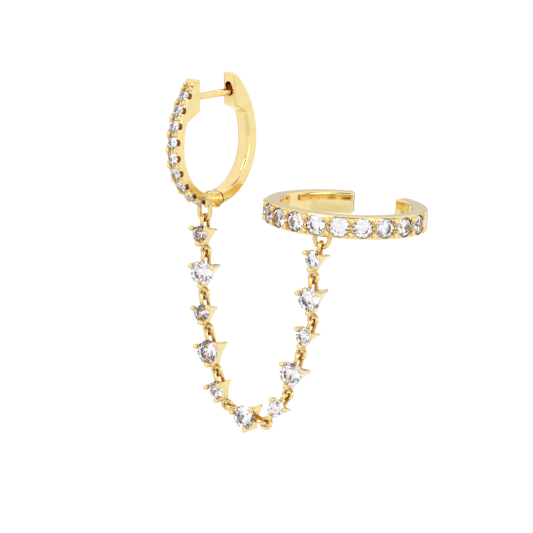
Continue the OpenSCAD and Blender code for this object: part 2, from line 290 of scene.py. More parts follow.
def colour(name, description, code):
    """A colour property with an sRGB hex default."""
    return bpy.props.FloatVectorProperty(
        name=name, description=description, subtype="COLOR", size=3, min=0, max=1,
        default=linear(code))


def length(name, description, millimetres):
    """A length property with a default in millimetres."""
    return bpy.props.FloatProperty(
        name=name, description=description, unit="LENGTH", subtype="DISTANCE", min=0,
        default=millimetres * MM)


def amount(name, description, default):
    """A plain number property."""
    return bpy.props.FloatProperty(name=name, description=description, min=0, default=default)


class EarringSizes(bpy.types.PropertyGroup):
    """Fine sizes that the CAD model leaves out."""
    hoop_edge: length("Hoop edge", "Radius of the hoop's polished edges", 0.13)
    back_edge: length("Back edge", "Radius of the plain half's polished edges", 0.25)
    cuff_edge: length("Cuff edge", "Radius of the cuff's polished edges", 0.24)
    cuff_end: length("Cuff end", "Radius of the edges round the cuff's two ends", 0.3)
    hoop_grain: length("Hoop grain", "Diameter of the grains on the hoop", 0.46)
    cuff_grain: length("Cuff grain", "Diameter of the grains on the cuff", 0.56)
    pocket: length("Pocket", "Radius of the cuts between the stones of a row", 0.3)
    foot_edge: length("Foot edge", "Rounding of a setting's back edges", 0.08)


class EarringFinish(bpy.types.PropertyGroup):
    """Colours and gloss of the metal and the stones."""
    gold: colour("Gold", "Polished gold where it faces the light", "FAE4A6")
    # The deep gold is painted shade that ambient occlusion mixes into the hollows, and a tenth of it
    # tints random patches
    gold_tone_and_painted_shade: colour("Deep gold", "Gold in the hollows that the polish can't reach", "C08826")
    gold_rough: amount("Gold roughness", "Roughness of the polished gold", 0.09)
    stone: colour("Stone", "Body colour of the clear stones", "FBFAFF")
    facet_light: colour("Light facet", "Lightest flash from a lower facet", "FFFFFF")
    facet_dark: colour("Dark facet", "Darkest flash from a lower facet", "A6A6B4")
    stone_ior: bpy.props.FloatProperty(
        name="Stone IOR", description="Refractive index of the stones", min=1, default=2.2)


class EarringStudio(bpy.types.PropertyGroup):
    """Camera and light."""
    azimuth: bpy.props.FloatProperty(
        name="Azimuth", description="Camera's direction about the upright", subtype="ANGLE",
        default=math.radians(-50))
    elevation: bpy.props.FloatProperty(
        name="Elevation", description="Camera's height angle", subtype="ANGLE",
        default=math.radians(8))
    distance: length("Distance", "Distance from the camera to the ear post", 400)
    lens: amount("Lens", "Focal length in millimetres on a 36 mm sensor", 297.2)
    aim_right: length(
        "Aim right", "Aim to the right of the ear post", MIDDLE_RIGHT / PHOTO_SCALE)
    aim_down: length("Aim down", "Aim below the ear post", MIDDLE_DOWN / PHOTO_SCALE)
    tent: amount("Tent", "Brightness of the white tent", 1.0)
    key: amount("Key", "Power of the key softbox, in watts", 0.6)
    fill: amount("Fill", "Power of the fill softbox, in watts", 0.3)
    paper: colour("Paper", "White studio paper", "FAFAFA")
    flag: colour("Flag", "Dark gaps of the tent that draw lines on polished metal", "140C04")


def turned(axis, degrees):
    """Rotation about an axis by degrees."""
    return Matrix.Rotation(math.radians(degrees), 4, axis)


def moved(x=0.0, y=0.0, z=0.0):
    """Translation in millimetres."""
    return Matrix.Translation((x, y, z))


def cosd(degrees):
    """Cosine of an angle in degrees."""
    return math.cos(math.radians(degrees))


def sind(degrees):
    """Sine of an angle in degrees."""
    return math.sin(math.radians(degrees))


# Places, repeated from the CAD source


def on_hoop(s):
    """Place on the front half's outside at a height s along the band, with +Z out of the band."""
    radius, shift = (ARCH_R, ARCH_X) if s > 0 else (HOOP_R, 0)
    lift = -90 + math.degrees(s / radius)
    return moved(shift, 0, -POST_H) @ turned("Y", lift) @ moved(z=radius)


def hoop_step(k):
    """Place on the front half at step k of its row of stones."""
    return on_hoop(HOOP_ROW_TOP - k * HOOP_PITCH)


def girdle_rise(d):
    """Height of a stone's girdle over its band, so that its table stands at TABLE_RISE."""
    return TABLE_RISE - d * CROWN


def stone_d(i):
    """Diameter of a setting's stone: small and large ones take turns."""
    return SMALL_D if i % 2 == 0 else LARGE_D


def upper_side(i):
    """Direction from a setting's middle to its upper eye."""
    lean, _, swing, _ = CHAIN_ROUTE[i]
    return Vector((sind(lean) * cosd(swing), -sind(lean) * sind(swing), cosd(lean)))


def travel(i):
    """Direction of the chain's way through a setting, from the hoop to the cuff."""
    return upper_side(i) * (-1 if i < BOTTOM else 1)


def reach_up(i):
    """Distance from a setting's middle to its upper eye."""
    return stone_d(i) / 2 + EYE_ABOVE


def reach_down(i):
    """Distance from a setting's middle to its lower eye."""
    return stone_d(i) / 2 + EYE_BELOW


def reach_in(i):
    """Distance from the eye that the chain comes in by to a setting's middle."""
    return reach_up(i) if i < BOTTOM else reach_down(i)


def reach_out(i):
    """Distance from a setting's middle to the eye that the chain goes out by."""
    return reach_down(i) if i < BOTTOM else reach_up(i)


def end_pull(ring_r):
    """Distance between the middles of an end eye and the eye linked with it."""
    return ring_r - END_WIRE / 2 + EYE_R - EYE_WIRE / 2 - LINK_GAP


def setting_places():
    """Middle of each setting in the chain's own axes, and the place of the cuff's eye."""
    link_pull = 2 * (EYE_R - EYE_WIRE / 2) - LINK_GAP
    places = []
    for i in range(SETTINGS):
        if i == 0:
            first = end_pull(HOOP_EYE_R) * travel(0)
        else:
            # Linked eyes pull midway between two travels, but along the bottom setting's own
            way = travel(i - 1) + travel(i) if i not in (BOTTOM, BOTTOM + 1) else travel(BOTTOM)
            first = (
                places[-1] + reach_out(i - 1) * travel(i - 1) + link_pull * way.normalized())
        places.append(first + reach_in(i) * travel(i))
    last = SETTINGS - 1
    return places, places[last] + (reach_out(last) + end_pull(CUFF_EYE_R)) * travel(last)


PLACES, CHAIN_END = setting_places()
BAND_AT_EYE = math.sqrt(HOOP_R ** 2 - HOOP_EYE_FRONT ** 2)
CHAIN_START = (
    moved(-HOOP_EYE_FRONT, 0, -(POST_H + BAND_AT_EYE + HOOP_EYE_DROP)) @ turned("Z", CHAIN_RUN))


def on_chain(i):
    """Frame of a setting, its upper eye toward +Z."""
    lean, _, swing, _ = CHAIN_ROUTE[i]
    return (
        CHAIN_START @ Matrix.Translation(PLACES[i]) @ turned("Z", -swing) @ turned("Y", lean))


def setting_head(i):
    """Stone frame within a setting: girdle at z = 0 and table up."""
    _, turn, _, tip = CHAIN_ROUTE[i]
    return turned("Z", -turn) @ moved(0, -EYE_BACK, 0) @ turned("X", 90 - tip)


CUFF_MID_R = CUFF_R - CUFF_T / 2
CUFF_EYE = Vector((CUFF_MID_R, 0, -CUFF_H / 2 - CUFF_EYE_DROP))
ON_CUFF = (
    CHAIN_START @ Matrix.Translation(CHAIN_END)
    @ turned("Y", CUFF_ROLL) @ turned("X", CUFF_PITCH_DOWN)
    @ turned("Z", CUFF_TURN + CUFF_EYE_TURN)
    @ Matrix.Translation(-CUFF_EYE) @ turned("Z", -CUFF_EYE_TURN))


def on_cuff(k):
    """Place on the cuff's outside at step k of the row, with +Z out of the band."""
    angle = CUFF_PITCH * (k - (CUFF_STONES - 1) / 2)
    return ON_CUFF @ turned("Z", angle) @ turned("Y", 90) @ moved(z=CUFF_R)


# Materials and Geometry Nodes trees, filled by the first operator
MATERIALS = {}
TREES = {}


# Mesh building


def new_mesh(name, vertices, faces):
    """Smooth mesh of a closed shell, its normals facing outwards."""
    mesh = bpy.data.meshes.new(name)
    mesh.from_pydata([tuple(v) for v in vertices], [], faces)
    shell = bmesh.new()
    shell.from_mesh(mesh)
    bmesh.ops.remove_doubles(shell, verts=shell.verts, dist=1e-5)
    bmesh.ops.recalc_face_normals(shell, faces=shell.faces)
    shell.to_mesh(mesh)
    shell.free()
    mesh.polygons.foreach_set("use_smooth", [True] * len(mesh.polygons))
    return mesh


def skinned(name, rings):
    """Closed mesh over rings of points, one ring after the other, with a flat face at each end."""
    n = len(rings[0])
    vertices = [p for ring in rings for p in ring]
    faces = [
        (row * n + k, row * n + (k + 1) % n, (row + 1) * n + (k + 1) % n, (row + 1) * n + k)
        for row in range(len(rings) - 1) for k in range(n)]
    last = (len(rings) - 1) * n
    faces += [tuple(range(n - 1, -1, -1)), tuple(range(last, last + n))]
    return new_mesh(name, vertices, faces)


def revolved(name, profile, steps):
    """Closed mesh of a profile of (radius, height) turned about Z."""
    poles = 1e-4
    rings = [
        [(max(r, poles) * cosd(360 * k / steps), max(r, poles) * sind(360 * k / steps), z)
         for k in range(steps)]
        for r, z in profile]
    return skinned(name, rings)


def evaluated(obj):
    """Plain mesh of an object with its modifiers applied, the object itself removed."""
    bpy.context.view_layer.update()
    graph = bpy.context.evaluated_depsgraph_get()
    mesh = bpy.data.meshes.new_from_object(obj.evaluated_get(graph))
    bpy.data.objects.remove(obj)
    return mesh


def shown(name, mesh):
    """Object of a mesh, linked to the scene."""
    obj = bpy.data.objects.new(name, mesh)
    bpy.context.scene.collection.objects.link(obj)
    return obj


def cut(mesh, cutter):
    """The mesh with a cutter taken away."""
    body = shown("cut_body", mesh)
    tool = shown("cut_tool", cutter)
    knife = body.modifiers.new("cut", "BOOLEAN")
    knife.operation = "DIFFERENCE"
    knife.solver = "EXACT"
    knife.object = tool
    result = evaluated(body)
    bpy.data.objects.remove(tool)
    return result


def joined(name, parts):
    """One mesh of several (mesh, matrix) parts."""
    whole = bmesh.new()
    for mesh, matrix in parts:
        part = mesh.copy()
        part.transform(matrix)
        whole.from_mesh(part)
        bpy.data.meshes.remove(part)
    mesh = bpy.data.meshes.new(name)
    whole.to_mesh(mesh)
    whole.free()
    return mesh


def piece(name, mesh, materials, body, nodes, crease=None, evened=True):
    """Scene object in metres that stands for CAD nodes and rides on a body.

    Edges sharper than the crease stay sharp, and evened normals keep broad faces flat.
    """
    mesh.name = name
    mesh.transform(Matrix.Scale(MM, 4))
    mesh.materials.clear()
    for material in materials:
        mesh.materials.append(material)
    if crease is not None:
        mesh.polygons.foreach_set("use_smooth", [True] * len(mesh.polygons))
        mesh.set_sharp_from_angle(angle=math.radians(crease))
    obj = shown(name, mesh)
    if crease is not None and evened:
        weigh = obj.modifiers.new("weighted_normals", "WEIGHTED_NORMAL")
        weigh.keep_sharp = True
        weigh.weight = FACE_WEIGHT
    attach(obj, body)
    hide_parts(*nodes)


# Outlines


def arc(cx, cy, radius, start, end, step=ARC_STEP):
    """Points of an arc, both ends included."""
    n = max(2, math.ceil(abs(end - start) / step))
    return [
        (cx + radius * cosd(start + (end - start) * k / n),
         cy + radius * sind(start + (end - start) * k / n))
        for k in range(n + 1)]


def rounding(radius, steps):
    """Quarter round of an edge, as distances in from the side and in from the end."""
    if not radius:
        return [(0, 0)]
    return [(radius * (1 - sind(90 * k / steps)), radius * (1 - cosd(90 * k / steps)))
            for k in range(steps + 1)]


def inset(points, depth):
    """The outline moved inwards by a depth, less where the blocks thin toward their tops."""
    top = max(z for _, z in points)
    n = len(points)
    result = []
    for k in range(n):
        before, here, after = (Vector(points[j % n]) for j in (k - 1, k, k + 1))
        u = (here - before).normalized()
        v = (after - here).normalized()
        normal_u, normal_v = Vector((-u.y, u.x)), Vector((-v.y, v.x))
        middle = (normal_u + normal_v).normalized()
        share = min(1.0, THIN_SHARE + (1 - THIN_SHARE) * (top - here.y) / THIN_HEIGHT)
        result.append(tuple(here + middle * depth * share / max(middle.dot(normal_u), MITRE)))
    return result


def rounded_plate(name, outline, width, radius):
    """Plate of an outline in the hoop's own plane, its edges rounded, in the model's axes."""
    sides = [(depth, -width / 2 + along) for depth, along in rounding(radius, PLATE_STEPS)]
    layers = sides + [(depth, -y) for depth, y in reversed(sides)]
    rings = []
    for depth, y in layers:
        ring = inset(outline, depth) if depth > 0 else outline
        rings.append([(x, y, z - POST_H) for x, z in ring])
    return skinned(name, rings)


def band_outline(thickness, top, with_knuckle):
    """Outline of one half on the +X side, counter-clockwise, from the hinge up and back down."""
    face = LOBE_GAP / 2
    top_z = POST_H + top
    inner_arch = ARCH_R - thickness
    inner_low = HOOP_R - thickness
    slant_z = BLOCK_Y - SLANT / 2
    # The block's slanted underside ends on the band's inside, or just short of it
    step = Vector((SLANT, slant_z - BLOCK_Y))
    start = Vector((face + ARCH_X, BLOCK_Y))
    along = start.dot(step)
    gap = start.length_squared - inner_arch ** 2
    reach = (math.sqrt(along ** 2 - step.length_squared * gap) - along) / step.length_squared
    reach = min(reach, 1.0)
    root = (face + SLANT * reach, BLOCK_Y + step.y * reach)
    slant_turn = math.degrees(math.asin(root[1] / inner_arch))

    def meet(radius):
        """Angle at which a circle of the band meets the knuckle."""
        z = -(radius ** 2 + HINGE_H ** 2 - KNUCKLE_R ** 2) / (2 * HINGE_H)
        return math.degrees(math.atan2(z, math.sqrt(radius ** 2 - z ** 2)))

    low_out = meet(HOOP_R) if with_knuckle else PLAIN_END
    low_in = meet(inner_low) if with_knuckle else PLAIN_END
    # The arch ends on the round of the block's upper inner corner
    middle = Vector((face + SHOULDER, top_z - SHOULDER))
    away = middle + Vector((ARCH_X, 0))
    share = (ARCH_R ** 2 - SHOULDER ** 2 - away.length_squared) / (2 * SHOULDER * away.length)
    crest = math.degrees(math.atan2(away.y, away.x) + math.acos(min(share, 1)))
    tip = middle + SHOULDER * Vector((cosd(crest), sind(crest)))
    top_turn = math.degrees(math.atan2(tip.y, tip.x + ARCH_X))
    outer = arc(0, 0, HOOP_R, low_out, 0) + arc(-ARCH_X, 0, ARCH_R, 0, top_turn)[1:]
    inner = arc(-ARCH_X, 0, inner_arch, slant_turn, 0) + arc(0, 0, inner_low, 0, low_in)[1:]
    shoulder = arc(middle.x, middle.y, SHOULDER, crest, 180, SHOULDER_STEP)[1:]
    points = outer + shoulder + [(face, BLOCK_Y), root]
    points += inner[1:] if reach < 1 else inner
    if with_knuckle:
        start = math.degrees(math.atan2(inner[-1][1] + HINGE_H, inner[-1][0]))
        end = math.degrees(math.atan2(outer[0][1] + HINGE_H, outer[0][0])) + 360
        points += arc(0, -HINGE_H, KNUCKLE_R, start, end, KNUCKLE_STEP)[1:-1]
    return points


def hinge_disc(name, radius, y_from, y_to, edge=0.0):
    """Cylinder along the hinge, between two places along it, with rounded rims."""
    half = (y_to - y_from) / 2
    rim = [(radius - depth, half - along) for depth, along in reversed(rounding(edge, EDGE_STEPS))]
    profile = [(0, -half)] + [(r, -z) for r, z in reversed(rim)] + rim + [(0, half)]
    mesh = revolved(name, profile, HINGE_SIDES)
    mesh.transform(moved(0, (y_from + y_to) / 2, -POST_H - HINGE_H) @ turned("X", 90))
    return mesh


def across(name, place, diameter, reach):
    """Cylinder across the band through a place on it."""
    r = diameter / 2
    mesh = revolved(name, [(0, -reach), (r, -reach), (r, reach), (0, reach)], SCALLOP_SIDES)
    mesh.transform(place @ turned("X", 90))
    return mesh


def along_x(name, diameter, x_from, x_to, y=0.0, z=0.0, round_end=0.0):
    """Cylinder along the ear post's direction, its far end rounded."""
    r = diameter / 2
    end = [(r - along, x_to - depth) for depth, along in rounding(round_end, EDGE_STEPS)]
    profile = [(0, x_from), (r, x_from)] + end + [(0, x_to)]
    mesh = revolved(name, profile, POST_SIDES)
    mesh.transform(moved(0, y, z) @ turned("Y", 90))
    return mesh


def stone_seat(d):
    """Space that the metal leaves for a stone of a diameter, a little wider than the stone."""
    r = d / 2 + STONE_GAP
    rim = d * GIRDLE / 2 + STONE_GAP / 2
    top = d * (CROWN + GIRDLE / 2) + STONE_GAP + SEAT_CLEAR
    return revolved(
        "seat", [(0, -d * PAVILION - 2 * STONE_GAP), (r, -rim), (r, rim), (r, top), (0, top)],
        SEAT_SIDES)


def ball_profile(radius):
    """Profile of a ball for turning about Z."""
    return [(radius * sind(180 * k / BALL_STEPS), -radius * cosd(180 * k / BALL_STEPS))
            for k in range(BALL_STEPS + 1)]


# Geometry Nodes trees


def add_node(tree, kind, links=(), **settings):
    """Node with its settings; links give (input, source socket or value)."""
    node = tree.nodes.new(kind)
    for key, value in settings.items():
        setattr(node, key, value)
    for socket, source in links:
        if isinstance(source, bpy.types.NodeSocket):
            tree.links.new(source, node.inputs[socket])
        else:
            node.inputs[socket].default_value = source
    return node


def node_tree(name, inputs):
    """Geometry tree with named inputs of (name, socket type); gives the tree and its ends."""
    tree = bpy.data.node_groups.new(name, "GeometryNodeTree")
    sides = tree.interface
    sides.new_socket("Geometry", in_out="INPUT", socket_type="NodeSocketGeometry")
    for label, kind in inputs:
        sides.new_socket(label, in_out="INPUT", socket_type=kind)
    sides.new_socket("Geometry", in_out="OUTPUT", socket_type="NodeSocketGeometry")
    return tree, tree.nodes.new("NodeGroupInput"), tree.nodes.new("NodeGroupOutput")


def grown(name, base, tree, values):
    """Plain mesh that a tree makes from a base mesh, with named input values."""
    obj = shown(name, base)
    grow = obj.modifiers.new(name, "NODES")
    grow.node_group = tree
    sockets = {s.name: s.identifier for s in tree.interface.items_tree if s.in_out == "INPUT"}
    for label, value in values.items():
        grow[sockets[label]] = value
    return evaluated(obj)


def grain_tree():
    """Round grains of metal, one on each point, their poles out of the band."""
    tree, start, end = node_tree("row_of_grains", [
        ("Radius", "NodeSocketFloat"), ("Height", "NodeSocketFloat"),
        ("Metal", "NodeSocketMaterial")])
    size = add_node(tree, "ShaderNodeCombineXYZ", [
        ("X", start.outputs["Radius"]), ("Y", start.outputs["Radius"]),
        ("Z", start.outputs["Height"])])
    ball = add_node(tree, "GeometryNodeMeshUVSphere", [
        ("Segments", GRAIN_SIDES), ("Rings", GRAIN_RINGS)])
    soft = add_node(tree, "GeometryNodeSetShadeSmooth", [("Geometry", ball.outputs["Mesh"])])
    turn = add_node(tree, "GeometryNodeInputNamedAttribute", [("Name", "turn")],
                    data_type="FLOAT_VECTOR")
    spin = add_node(tree, "FunctionNodeEulerToRotation", [("Euler", turn.outputs["Attribute"])])
    row = add_node(tree, "GeometryNodeInstanceOnPoints", [
        ("Points", start.outputs["Geometry"]), ("Instance", soft.outputs["Geometry"]),
        ("Rotation", spin.outputs["Rotation"]), ("Scale", size.outputs["Vector"])])
    real = add_node(tree, "GeometryNodeRealizeInstances", [("Geometry", row.outputs[0])])
    coat = add_node(tree, "GeometryNodeSetMaterial", [
        ("Geometry", real.outputs["Geometry"]), ("Material", start.outputs["Metal"])])
    tree.links.new(coat.outputs["Geometry"], end.inputs["Geometry"])
    return tree


def stone_tree():
    """Row of cut stones, one on each point, every lower facet with its own flash."""
    tree, start, end = node_tree("row_of_stones", [
        ("Stone", "NodeSocketObject"), ("Diameter", "NodeSocketFloat"),
        ("Crown", "NodeSocketMaterial"), ("Pavilion", "NodeSocketMaterial"),
        ("Seed", "NodeSocketInt")])
    cut_stone = add_node(tree, "GeometryNodeObjectInfo", [("Object", start.outputs["Stone"])])
    turn = add_node(tree, "GeometryNodeInputNamedAttribute", [("Name", "turn")],
                    data_type="FLOAT_VECTOR")
    spin = add_node(tree, "FunctionNodeEulerToRotation", [("Euler", turn.outputs["Attribute"])])
    row = add_node(tree, "GeometryNodeInstanceOnPoints", [
        ("Points", start.outputs["Geometry"]), ("Instance", cut_stone.outputs["Geometry"]),
        ("Rotation", spin.outputs["Rotation"]), ("Scale", start.outputs["Diameter"])])
    real = add_node(tree, "GeometryNodeRealizeInstances", [("Geometry", row.outputs[0])])
    flash = add_node(tree, "FunctionNodeRandomValue", [("Seed", start.outputs["Seed"])],
                     data_type="FLOAT")
    keep = add_node(tree, "GeometryNodeStoreNamedAttribute", [
        ("Geometry", real.outputs["Geometry"]), ("Name", "flash"),
        ("Value", flash.outputs["Value"])],
        data_type="FLOAT", domain="FACE")
    below = add_node(tree, "GeometryNodeInputNamedAttribute", [("Name", "below")],
                     data_type="BOOLEAN")
    upper = add_node(tree, "GeometryNodeSetMaterial", [
        ("Geometry", keep.outputs["Geometry"]), ("Material", start.outputs["Crown"])])
    lower = add_node(tree, "GeometryNodeSetMaterial", [
        ("Geometry", upper.outputs["Geometry"]), ("Selection", below.outputs["Attribute"]),
        ("Material", start.outputs["Pavilion"])])
    tree.links.new(lower.outputs["Geometry"], end.inputs["Geometry"])
    return tree


def wire_tree():
    """Round wire along the base mesh's edges."""
    tree, start, end = node_tree("bent_wire", [
        ("Radius", "NodeSocketFloat"), ("Metal", "NodeSocketMaterial")])
    path = add_node(tree, "GeometryNodeMeshToCurve", [("Mesh", start.outputs["Geometry"])])
    section = add_node(tree, "GeometryNodeCurvePrimitiveCircle", [
        ("Resolution", WIRE_SIDES), ("Radius", start.outputs["Radius"])])
    wire = add_node(tree, "GeometryNodeCurveToMesh", [
        ("Curve", path.outputs["Curve"]), ("Profile Curve", section.outputs["Curve"]),
        ("Fill Caps", True)])
    soft = add_node(tree, "GeometryNodeSetShadeSmooth", [("Geometry", wire.outputs["Mesh"])])
    real = add_node(tree, "GeometryNodeRealizeInstances", [("Geometry", soft.outputs["Geometry"])])
    coat = add_node(tree, "GeometryNodeSetMaterial", [
        ("Geometry", real.outputs["Geometry"]), ("Material", start.outputs["Metal"])])
    tree.links.new(coat.outputs["Geometry"], end.inputs["Geometry"])
    return tree


def placed_points(name, matrices):
    """Mesh of points with a turn attribute, one for each place."""
    mesh = bpy.data.meshes.new(name)
    mesh.from_pydata([tuple(m.translation) for m in matrices], [], [])
    turn = mesh.attributes.new("turn", "FLOAT_VECTOR", "POINT")
    for k, matrix in enumerate(matrices):
        turn.data[k].vector = matrix.to_euler()
    return mesh


def path_mesh(name, points, closed):
    """Mesh of edges through points."""
    n = len(points)
    edges = [(k, (k + 1) % n) for k in range(n if closed else n - 1)]
    mesh = bpy.data.meshes.new(name)
    mesh.from_pydata([tuple(p) for p in points], edges, [])
    return mesh


def ring_path(r, count=RING_SIDES):
    """Points of a ring in the XZ plane, all of them or the first few from +X upwards."""
    return [(r * cosd(360 * k / RING_SIDES), 0, r * sind(360 * k / RING_SIDES))
            for k in range(count)]


def staple_path(r, leg):
    """Points of a half ring on the upper side, with straight legs down from it."""
    return [(r, 0, -leg)] + ring_path(r, RING_SIDES // 2 + 1) + [(-r, 0, -leg)]


def wire_mesh(name, points, closed, diameter, matrix):
    """Bent gold wire through points, placed by a matrix."""
    mesh = grown(name, path_mesh(name, points, closed), TREES["wire"],
                 {"Radius": diameter / 2, "Metal": MATERIALS["gold"]})
    mesh.transform(matrix)
    return mesh


def grain_row(places, diameter):
    """Mesh of gold grains at several places."""
    r = diameter / 2
    return grown("grains", placed_points("grains", places), TREES["grains"],
                 {"Radius": r, "Height": r, "Metal": MATERIALS["gold"]})


def seated(band, places, d):
    """The band with a seat cut at each place for a stone of a diameter."""
    seat = stone_seat(d)
    return cut(band, joined("seats", [(seat, place) for place in places]))


def pocketed(band, places, radius, out):
    """The band with a round pocket cut at each place, its middle a little outside the band."""
    pocket = revolved("pocket", ball_profile(radius), POCKET_SIDES)
    return cut(band, joined("pockets", [(pocket, place @ moved(z=out)) for place in places]))


# Cut stones


def brilliant():
    """Full round brilliant of unit diameter, with its 57 facets and the girdle's."""
    lift = GIRDLE / 2
    points = []

    def ring(count, radius, height, shift=0.0):
        """Adds a ring of corners and gives the number of its first."""
        first = len(points)
        for k in range(count):
            a = 360 * (k + shift) / count
            points.append((radius * cosd(a), radius * sind(a), height))
        return first

    n = TABLE_SIDES
    table = ring(n, TABLE_R, lift + CROWN)
    star = ring(n, STAR_R, lift + CROWN * STAR_SHARE, 0.5)
    high = ring(GIRDLE_SIDES, 0.5, lift)
    low = ring(GIRDLE_SIDES, 0.5, -lift)
    lower = ring(n, LOWER_R, -lift - LOWER_SHARE * (PAVILION - lift), 0.5)
    point = ring(1, 0, -PAVILION)
    faces = [tuple(table + k for k in range(n))]
    for k in range(n):
        here, after = 2 * k, (2 * k + 2) % GIRDLE_SIDES
        faces.append((table + k, star + k, table + (k + 1) % n))
        faces.append((table + k, star + (k - 1) % n, high + here, star + k))
        faces.append((star + k, high + here, high + here + 1))
        faces.append((star + k, high + here + 1, high + after))
    for k in range(GIRDLE_SIDES):
        after = (k + 1) % GIRDLE_SIDES
        faces.append((high + k, low + k, low + after, high + after))
    above = len(faces)
    for k in range(n):
        here, after = 2 * k, (2 * k + 2) % GIRDLE_SIDES
        faces.append((point, lower + k, low + here, lower + (k - 1) % n))
        faces.append((lower + k, low + here + 1, low + here))
        faces.append((lower + k, low + after, low + here + 1))
    mesh = bpy.data.meshes.new("brilliant")
    mesh.from_pydata(points, [], faces)
    mesh.polygons.foreach_set("use_smooth", [False] * len(faces))
    below = mesh.attributes.new("below", "BOOLEAN", "FACE")
    for k in range(len(faces)):
        below.data[k].value = k >= above
    shell = bmesh.new()
    shell.from_mesh(mesh)
    bmesh.ops.recalc_face_normals(shell, faces=shell.faces)
    shell.to_mesh(mesh)
    shell.free()
    return mesh


def stone_row(name, places, diameter, seed, node):
    """Piece of cut stones at several places that stands for a CAD node."""
    pattern = shown("brilliant_pattern", brilliant())
    crown, pavilion = MATERIALS["stone_crown"], MATERIALS["stone_pavilion"]
    mesh = grown(name, placed_points(name, places), TREES["stones"], {
        "Stone": pattern, "Diameter": diameter, "Seed": seed, "Crown": crown,
        "Pavilion": pavilion})
    bpy.data.objects.remove(pattern)
    piece(name, mesh, [crown, pavilion], FRONT, [node])


# Materials


def pattern_scale(millimetres):
    """Scale of a noise whose waves have a real length."""
    return 1 / (millimetres * MM)


def new_material(name):
    """Material with an empty tree; gives it, its tree and its output."""
    material = bpy.data.materials.new(name)
    material.use_nodes = True
    tree = material.node_tree
    tree.nodes.clear()
    return material, tree, tree.nodes.new("ShaderNodeOutputMaterial")


def polished_gold(finish):
    """Polished 14 carat yellow gold, buffed by hand.

    The eye gets a soft mirror, warm where metal mirrors metal, with a faint haze of polishing marks
    and a slightly deeper tone in patches about half a millimetre across. Its hollows get painted
    shade mixed into their colour.
    """
    material, tree, end = new_material("polished_yellow_gold")
    place = add_node(tree, "ShaderNodeTexCoord")
    # Buffing leaves long waves and fine marks
    waves = add_node(tree, "ShaderNodeTexNoise", [
        ("Vector", place.outputs["Object"]), ("Scale", pattern_scale(0.625)), ("Detail", 2.0)])
    marks = add_node(tree, "ShaderNodeTexNoise", [
        ("Vector", place.outputs["Object"]), ("Scale", pattern_scale(0.05)), ("Detail", 3.0)])
    tone = add_node(tree, "ShaderNodeMapRange", [
        ("Value", waves.outputs["Fac"]), ("From Min", 0.35), ("From Max", 0.75)])
    tint = add_node(tree, "ShaderNodeMix", [
        ("Factor", tone.outputs["Result"]), ("A", (*finish.gold, 1.0)),
        ("B", (*[0.9 * g + 0.1 * d for g, d in zip(finish.gold, finish.gold_tone_and_painted_shade)], 1.0))],
        data_type="RGBA")
    # Painted shade: ambient occlusion mixes the deep gold into hollows a few tenths of a millimetre
    # deep, darker than the polished outside
    open_sky = add_node(tree, "ShaderNodeAmbientOcclusion", [("Distance", 0.8 * MM)], samples=8)
    hollow = add_node(tree, "ShaderNodeMapRange", [
        ("Value", open_sky.outputs["AO"]), ("From Min", 0.2), ("From Max", 1.0),
        ("To Min", 1.0), ("To Max", 0.0)])
    tint = add_node(tree, "ShaderNodeMix", [
        ("Factor", hollow.outputs["Result"]), ("A", tint.outputs["Result"]),
        ("B", (*finish.gold_tone_and_painted_shade, 1.0))], data_type="RGBA")
    haze = add_node(tree, "ShaderNodeMapRange", [
        ("Value", marks.outputs["Fac"]), ("To Min", finish.gold_rough * 0.6),
        ("To Max", finish.gold_rough * 1.5)])
    bump = add_node(tree, "ShaderNodeBump", [
        ("Height", waves.outputs["Fac"]), ("Strength", 0.06), ("Distance", 0.1 * MM)])
    metal = add_node(tree, "ShaderNodeBsdfPrincipled", [
        ("Base Color", tint.outputs["Result"]), ("Metallic", 1.0),
        ("Roughness", haze.outputs["Result"]), ("Normal", bump.outputs["Normal"])])
    tree.links.new(metal.outputs["BSDF"], end.inputs["Surface"])
    return material


def stone_crown(finish):
    """Crown of a colourless brilliant: polished, bright, and bending what is seen through it."""
    material, tree, end = new_material("clear_stone_crown")
    place = add_node(tree, "ShaderNodeTexCoord")
    # Faint breath of roughness on the facets, coarser than the real polish so that it shows
    breath = add_node(tree, "ShaderNodeTexNoise", [
        ("Vector", place.outputs["Object"]), ("Scale", pattern_scale(1 / 3))])
    rough = add_node(tree, "ShaderNodeMapRange", [
        ("Value", breath.outputs["Fac"]), ("To Min", 0.0), ("To Max", 0.03)])
    glass = add_node(tree, "ShaderNodeBsdfPrincipled", [
        ("Base Color", (*finish.stone, 1.0)), ("Roughness", rough.outputs["Result"]),
        ("IOR", finish.stone_ior), ("Transmission Weight", 1.0)])
    tree.links.new(glass.outputs["BSDF"], end.inputs["Surface"])
    return material


def stone_pavilion(finish):
    """Lower facets of a brilliant, which throw all light back, each with its own grey flash."""
    material, tree, end = new_material("clear_stone_pavilion")
    flash = add_node(tree, "ShaderNodeAttribute", attribute_name="flash")
    step = add_node(tree, "ShaderNodeMapRange", [
        ("Value", flash.outputs["Fac"]), ("From Min", 0.05), ("From Max", 0.55)])
    tint = add_node(tree, "ShaderNodeMix", [
        ("Factor", step.outputs["Result"]), ("A", (*finish.facet_dark, 1.0)),
        ("B", (*finish.facet_light, 1.0))], data_type="RGBA")
    mirror = add_node(tree, "ShaderNodeBsdfPrincipled", [
        ("Base Color", tint.outputs["Result"]), ("Metallic", 1.0), ("Roughness", 0.02)])
    tree.links.new(mirror.outputs["BSDF"], end.inputs["Surface"])
    return material


# Operators


class EARRING_OT_materials(bpy.types.Operator):
    """Make the metal, the stones' materials and the trees that the pieces share"""
    bl_idname = "earring.materials"
    bl_label = "Materials"

    def execute(self, context):
        finish = context.scene.earring_finish
        MATERIALS["gold"] = polished_gold(finish)
        MATERIALS["stone_crown"] = stone_crown(finish)
        MATERIALS["stone_pavilion"] = stone_pavilion(finish)
        TREES["grains"] = grain_tree()
        TREES["stones"] = stone_tree()
        TREES["wire"] = wire_tree()
        return {"FINISHED"}


